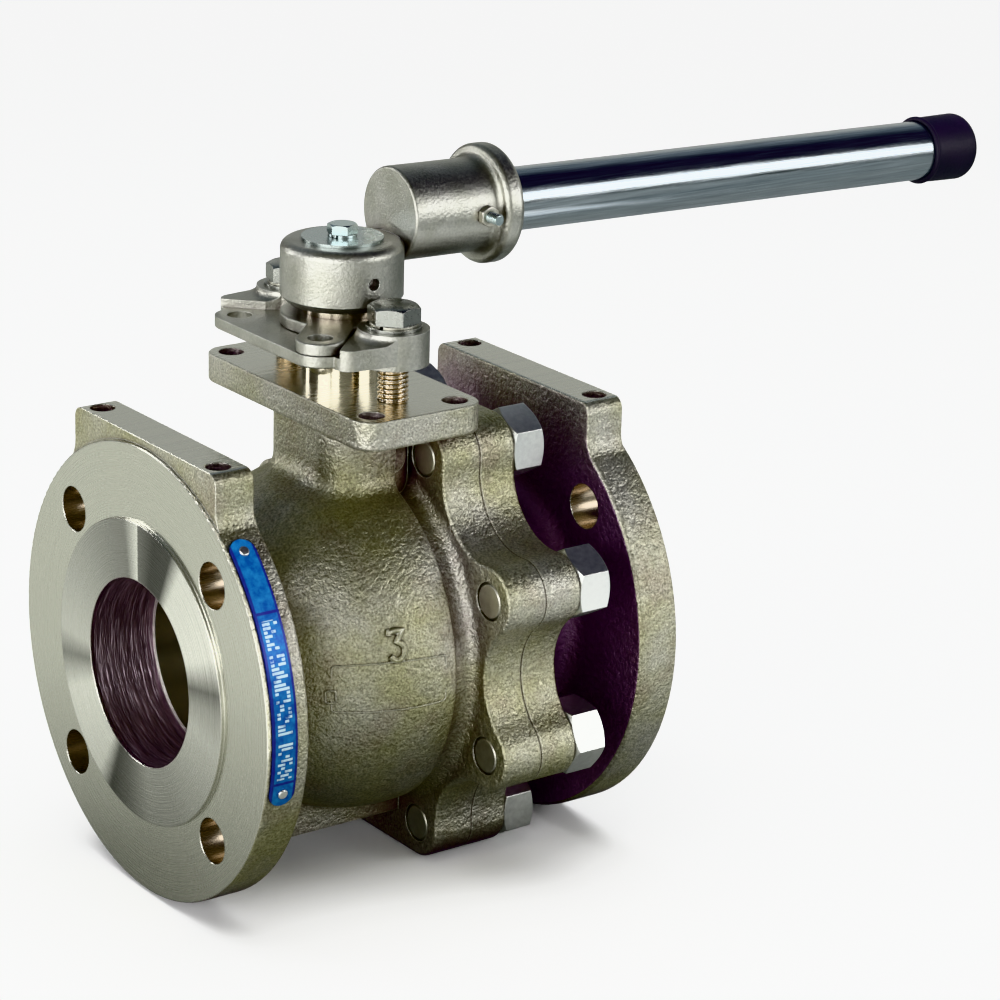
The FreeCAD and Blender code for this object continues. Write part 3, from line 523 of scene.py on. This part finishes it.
# gland bolts with real threads, and split spring washers
boltLook = {"radius": 6.35 * mm, "pitch": 1.954 * mm, "steps": 28, "head": 142.45 * mm}
glandRing = {"inner": 6.45 * mm, "outer": 9.8 * mm, "height": 1.0 * mm, "rise": 0.14 * mm,
             "turn": 350.0, "steps": 48}
hubRing = {"inner": 3.3 * mm, "outer": 5.9 * mm, "height": 1.08 * mm, "rise": 0.16 * mm,
           "turn": 350.0, "steps": 40}


def makeGlandBolts(look):
    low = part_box("gland_bolts")[0]
    bm = bmesh.new()
    bm.from_mesh(nodes["gland_bolts"].data)
    bmesh.ops.remove_doubles(bm, verts=bm.verts, dist=1e-6)
    cutOff(bm, look["head"], 1)
    fillHoles(bm)
    makePiece("gland_bolt_heads", bm, boltSteel, "root", ["gland_bolts"], 25.0)
    rod = threadedRod(look, low.z, look["head"])
    rods = bmesh.new()
    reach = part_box("gland_lock_washers")[1].y - glandRing["outer"]
    for side in (-1, 1):
        addCopy(rods, rod, Matrix.Translation((0.0, side * reach, 0.0)))
    rod.free()
    makePiece("gland_bolt_threads", rods, threadSteel, "root", ["gland_bolts"], 25.0)


def makeLockWashers():
    low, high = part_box("gland_lock_washers")
    ring = splitRing(glandRing)
    rings = bmesh.new()
    for sign, turn in ((-1, -150.0), (1, 40.0)):
        centre = Matrix.Translation((0.0, sign * (high.y - glandRing["outer"]), low.z))
        addCopy(rings, ring, centre @ Matrix.Rotation(math.radians(turn), 4, "Z"))
    ring.free()
    makePiece("gland_split_washers", rings, studSteel, "root", ["gland_lock_washers"])
    ring = splitRing(hubRing)
    turn = Matrix.Rotation(math.radians(-140), 4, "Z")
    lift = Matrix.Translation((0, 0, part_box("hub_lock_washer")[0].z))
    bmesh.ops.transform(ring, matrix=lift @ turn, verts=ring.verts)
    makePiece("hub_split_washer", ring, washerZinc, "handle", ["hub_lock_washer"])


makeGlandBolts(boltLook)
makeLockWashers()
print("gland bolts and lock washers made")


# moulded grip cap, and the threaded screw that holds the tube
capLook = {"tubeRadius": 13.335 * mm, "radius": 15.0 * mm, "bead": 0.55 * mm, "tip": 5.0 * mm,
           "bore": 13.4 * mm, "end": 4.0 * mm, "mouth": 0.3 * mm, "flare": 0.2 * mm}
tubeScrew = {"radius": 2.35 * mm, "pitch": 1.06 * mm, "steps": 24}


def handleLine():   # start and direction of the tube's centre line, from the tube's box
    low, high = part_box("handle_tube")
    radius = capLook["tubeRadius"]
    slope = math.atan2(high.z - low.z - 2 * radius, high.x - low.x)
    start = Vector((low.x + radius * math.sin(slope), 0.0, high.z - radius * math.cos(slope)))
    return start, Vector((math.cos(slope), 0.0, -math.sin(slope)))


def arcCorners(centre, radius, first, last, steps=6):   # (radius, height) corners round a quarter turn
    corners = []
    for step in range(steps + 1):
        angle = math.radians(first + (last - first) * step / steps)
        corners.append((centre[0] + radius * math.cos(angle), centre[1] + radius * math.sin(angle)))
    return corners


def makeGripCap(look):
    low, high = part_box("grip_cap")
    start, along = handleLine()
    length = (high.x - low.x) / along.x - 2 * look["tubeRadius"] * abs(along.z)
    outer, bead, tip = look["radius"] - 0.5 * look["bead"], look["bead"], look["tip"]
    inside = length - look["end"]
    corners = [(0.0, inside), (look["bore"], inside), (look["bore"], look["mouth"]),
               (look["bore"] + look["flare"], 0.0)]
    corners += arcCorners((outer - bead, 2 * bead), 2 * bead, -90.0, 60.0)
    corners += [(outer - 0.05 * mm, 4.6 * bead), (outer, 7 * bead)]
    corners += arcCorners((look["radius"] - tip, length - tip), tip, 0.0, 90.0, 10)
    corners.append((0.0, length))
    bm = lathe(corners)
    base = start + along * ((low.x - start.x) / along.x + look["tubeRadius"] * abs(along.z))
    turn = Vector((0, 0, 1)).rotation_difference(along).to_matrix().to_4x4()
    bmesh.ops.transform(bm, matrix=Matrix.Translation(base) @ turn, verts=bm.verts)
    makePiece("grip_cap_moulding", bm, vinyl, "handle", ["grip_cap"], 45.0)


def makeTubeScrew(look):
    low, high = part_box("tube_set_screw")
    length = high.y - low.y
    bm = threadedRod(look, 0.0, length)
    middle = 0.5 * (low + high)
    place = Matrix.Translation((middle.x, high.y, middle.z)) @ Matrix.Rotation(math.radians(90), 4, "X")
    bmesh.ops.transform(bm, matrix=place, verts=bm.verts)
    makePiece("tube_screw_thread", bm, zinc, "handle", ["tube_set_screw"], 25.0)


makeGripCap(capLook)
makeTubeScrew(tubeScrew)
print("grip cap and tube screw made")


# raised foundry marks on the bowl
markLook = {
    "bowl": 75.0 * mm, "numeralAt": (-18.7, -70.1, 19.1), "numeralStroke": 1.45 * mm,
    "panelAt": (-21.5, -71.8, 2.2), "panelHalf": (25.5, 10.3), "panelCorner": 1.5,
    "panelStroke": 0.42 * mm, "bossAt": (-43.8, -60.9, -1.0), "bossHalf": (2.1, 2.6), "bossCorner": 0.8,
    "bossStroke": 0.5 * mm, "sunk": 0.85,
}


def wrapOnBowl(mesh, centre, bowl, sunk):   # local x runs round the bowl, y up it, z out of it
    middle = Vector(centre).normalized()
    aside = Vector((0, 0, 1)).cross(middle).normalized()
    upward = middle.cross(aside)
    for vert in mesh.vertices:
        u, v, lift = vert.co
        direction = (middle * bowl + aside * u + upward * v).normalized()
        vert.co = direction * (bowl + lift * sunk)


def raisedLine(points, closed, stroke):
    curve = bpy.data.curves.new("stroke", "CURVE")
    curve.dimensions = "3D"
    curve.bevel_depth = stroke
    curve.bevel_resolution = 2
    curve.use_fill_caps = True
    spline = curve.splines.new("POLY")
    spline.points.add(len(points) - 1)
    for point, (u, v) in zip(spline.points, points):
        point.co = (u * mm, v * mm, 0.0, 1.0)
    spline.use_cyclic_u = closed
    holder = bpy.data.objects.new("stroke", curve)
    bpy.context.scene.collection.objects.link(holder)
    mesh = bpy.data.meshes.new_from_object(holder)
    bpy.data.objects.remove(holder)
    return mesh


def numeralThree():   # flat-topped, with a round lower bowl
    points = [(-3.0, 4.0), (-3.0, 5.7), (-1.0, 5.7), (1.0, 5.7), (2.9, 5.7), (1.4, 3.6), (0.0, 1.4)]
    for degrees in range(80, -151, -23):
        angle = math.radians(degrees)
        points.append((0.1 + 3.3 * math.cos(angle), -2.5 + 3.7 * math.sin(angle)))
    return points


def rectangle(halfWidth, halfHeight, corner, steps=5):
    points = []
    for index, (sideU, sideV) in enumerate(((1, 1), (-1, 1), (-1, -1), (1, -1))):
        for step in range(steps):
            angle = math.radians(90 * index + 90 * step / (steps - 1))
            points.append((sideU * (halfWidth - corner) + corner * math.cos(angle),
                           sideV * (halfHeight - corner) + corner * math.sin(angle)))
        if index % 2 == 0:   # points along the long sides, so that they follow the bowl
            for share in range(2, 16, 2):
                points.append((sideU * (halfWidth - corner) * (1 - share / 8), sideV * halfHeight))
    return points


def makeMarks(look):
    bm = bmesh.new()
    marks = [(numeralThree(), False, "numeral"),
             (rectangle(*look["panelHalf"], look["panelCorner"]), True, "panel"),
             (rectangle(*look["bossHalf"], look["bossCorner"]), True, "boss")]
    for points, closed, key in marks:
        mesh = raisedLine(points, closed, look[key + "Stroke"])
        wrapOnBowl(mesh, look[key + "At"], look["bowl"], look["sunk"])
        bm.from_mesh(mesh)
        bpy.data.meshes.remove(mesh)
    bmesh.ops.remove_doubles(bm, verts=bm.verts, dist=1e-6)
    bmesh.ops.recalc_face_normals(bm, faces=bm.faces)
    makePiece("foundry_marks", bm, castBody, "root", (), 60.0)


makeMarks(markLook)
print("foundry marks made")


# floor, light and camera
stageLook = {
    "floorSize": 26.0, "floorSeen": (0.97, 0.97, 0.97), "floorLeftLit": (0.90, 0.90, 0.86),
    # what the metal mirrors of the floor is painted light: brighter to the left and back, dimmer to the
    # right, with a painted shadow under the valve
    "floorBright": (0.38, 0.39, 0.355), "floorDim": (0.165, 0.18, 0.18), "floorUnderShadow": 0.45,
    "dimX": (-0.15, 0.35), "leftX": (-0.28, -0.38), "leftY": (0.30, 0.18), "underShadowReach": (0.10, 0.32),
    "fade": (0.5, 2.4),
    "horizon": (0.56, 0.57, 0.54), "horizonBack": (0.12, 0.11, 0.10), "upperBack": (0.22, 0.25, 0.28),
    "backAim": (-0.60, 0.80), "backRange": (0.55, 0.85), "upperRange": (0.35, 0.60),
    "overheadRight": (0.030, 0.024, 0.044), "overheadLeft": (0.16, 0.16, 0.13), "overheadX": (-0.25, 0.35),
    "darkRange": (0.40, 0.70), "leanBack": -0.75, "leanFront": -0.25,   # it darkens sooner in front
    "skySeen": (1.3, 1.3, 1.3),
}


def makeFloor(look):
    bm = bmesh.new()
    bmesh.ops.create_grid(bm, x_segments=1, y_segments=1, size=look["floorSize"] / 2)
    mesh = bpy.data.meshes.new("floor")
    bm.to_mesh(mesh)
    bm.free()
    floor = bpy.data.objects.new("floor", mesh)
    floor.location.z = cadBox[0].z
    bpy.context.scene.collection.objects.link(floor)
    material, tree = newMaterial("floorPaper")
    seen = addNode(tree, "ShaderNodeLightPath").outputs["Is Camera Ray"]
    x, y, z = splitPlace(tree, objectPlace(tree))
    # the floor as the metal mirrors it and as it bounces light: painted light and painted shadow; the camera
    # sees it plain and pale
    mirrored = mixColour(tree, remap(tree, x, *look["dimX"]), look["floorBright"], look["floorDim"])
    # a painted pool of light to the back left
    left = allOf(tree, [remap(tree, x, *look["leftX"]), remap(tree, y, *look["leftY"])])
    mirrored = mixColour(tree, left, mirrored, look["floorLeftLit"])
    # a painted shadow on the floor close under the valve
    away = distance2d(tree, x, y)
    mirrored = dimmed(tree, mirrored, remap(tree, away, *look["underShadowReach"], look["floorUnderShadow"]))
    far = remap(tree, away, *look["fade"])   # far off, the floor turns into the white sky
    paper = dimmed(tree, look["floorSeen"], maths(tree, "SUBTRACT", 1.0, far))
    shader = tree.nodes["Principled BSDF"]
    tree.links.new(mixColour(tree, seen, mirrored, paper), shader.inputs["Base Color"])
    tree.links.new(maths(tree, "MULTIPLY", seen, far), shader.inputs["Emission Strength"])
    shader.inputs["Emission Color"].default_value = (*look["skySeen"], 1.0)
    shader.inputs["Roughness"].default_value = 0.9
    mesh.materials.append(material)


def makeSky(look):
    world = bpy.data.worlds.new("studio")
    bpy.context.scene.world = world
    world.use_nodes = True
    tree = world.node_tree
    seen = addNode(tree, "ShaderNodeLightPath").outputs["Is Camera Ray"]
    x, y, z = splitPlace(tree, addNode(tree, "ShaderNodeTexCoord").outputs["Generated"])
    sideways = remap(tree, x, *look["overheadX"])
    overhead = mixColour(tree, sideways, look["overheadLeft"], look["overheadRight"])
    back = maths(tree, "MULTIPLY", maths(tree, "MAXIMUM", y, 0.0), look["leanBack"])
    front = maths(tree, "MULTIPLY", maths(tree, "MINIMUM", y, 0.0), look["leanFront"])
    rise = maths(tree, "ADD", z, maths(tree, "ADD", back, front))
    share = remap(tree, rise, *look["darkRange"])
    aimX, aimY = look["backAim"]
    behind = maths(tree, "ADD", maths(tree, "MULTIPLY", x, aimX), maths(tree, "MULTIPLY", y, aimY))
    horizon = mixColour(tree, remap(tree, behind, *look["backRange"]), look["horizon"], look["horizonBack"])
    horizon = mixColour(tree, remap(tree, z, *look["upperRange"]), horizon, look["upperBack"])
    sky = mixColour(tree, share, horizon, overhead)
    tree.links.new(mixColour(tree, seen, sky, look["skySeen"]), tree.nodes["Background"].inputs["Color"])


softboxes = {   # azimuth and elevation seen from the valve, in degrees
    "left": {"azimuth": -172, "elevation": 12, "away": 1.9, "size": (1.1, 0.75), "power": 18.0},
    "backLeft": {"azimuth": 128, "elevation": 15, "away": 1.9, "size": (0.30, 0.7), "power": 7.0},
    "frontLeft": {"azimuth": -140, "elevation": 16, "away": 1.9, "size": (0.6, 0.6), "power": 7.5},
    "frontRight": {"azimuth": -56, "elevation": 18, "away": 1.9, "size": (1.2, 0.65), "power": 12.0},
    "ceiling": {"azimuth": 0, "elevation": 90, "away": 2.6, "size": (3.4, 3.4), "power": 150.0,
                "hidden": True},   # it lights the floor and is not mirrored in the metal
}
bounceCard = {"at": (0.23, -0.31), "size": (0.30, 0.24), "power": 0.24, "over": 0.002}   # lies on the floor


def addLamp(name, size, power, matrix):
    data = bpy.data.lights.new(name, "AREA")
    data.shape = "RECTANGLE"
    data.size, data.size_y = size
    data.energy = power
    lamp = bpy.data.objects.new(name, data)
    lamp.matrix_world = matrix
    lamp.visible_camera = False
    bpy.context.scene.collection.objects.link(lamp)
    return lamp


def makeSoftboxes(lights, card, aim):
    for name, light in lights.items():
        turn, rise = math.radians(light["azimuth"]), math.radians(light["elevation"])
        away = Vector((math.cos(turn) * math.cos(rise), math.sin(turn) * math.cos(rise), math.sin(rise)))
        facing = away.to_track_quat("Z", "Y").to_matrix().to_4x4()
        place = Matrix.Translation(aim + away * light["away"])
        lamp = addLamp(name, light["size"], light["power"], place @ facing)
        lamp.visible_glossy = not light.get("hidden", False)
    place = Matrix.Translation((*card["at"], cadBox[0].z + card["over"])) @ Matrix.Rotation(math.pi, 4, "X")
    addLamp("bounceCard", card["size"], card["power"], place)


cameraSet = {"azimuth": -36.45, "elevation": 18.77, "roll": 1.55, "lens": 125.4,
             "at": (-0.7562, -1.1355, 0.5214)}


def makeCamera(look):
    turn, rise, roll = (math.radians(look[key]) for key in ("azimuth", "elevation", "roll"))
    back = Vector((math.sin(turn) * math.cos(rise), -math.cos(turn) * math.cos(rise), math.sin(rise)))
    level = Vector((math.cos(turn), math.sin(turn), 0.0))
    upright = back.cross(level)
    right = level * math.cos(roll) + upright * math.sin(roll)
    up = upright * math.cos(roll) - level * math.sin(roll)
    data = bpy.data.cameras.new("camera")
    data.lens = look["lens"]
    data.clip_end = 100.0
    camera = bpy.data.objects.new("camera", data)
    camera.matrix_world = Matrix.Translation(look["at"]) @ Matrix((right, up, back)).transposed().to_4x4()
    bpy.context.scene.collection.objects.link(camera)
    bpy.context.scene.camera = camera


makeFloor(stageLook)
makeSky(stageLook)
makeSoftboxes(softboxes, bounceCard, Vector((0.05, 0.0, 0.05)))
makeCamera(cameraSet)
bpy.context.scene.view_settings.view_transform = "Khronos PBR Neutral"
print("stage and camera ready")
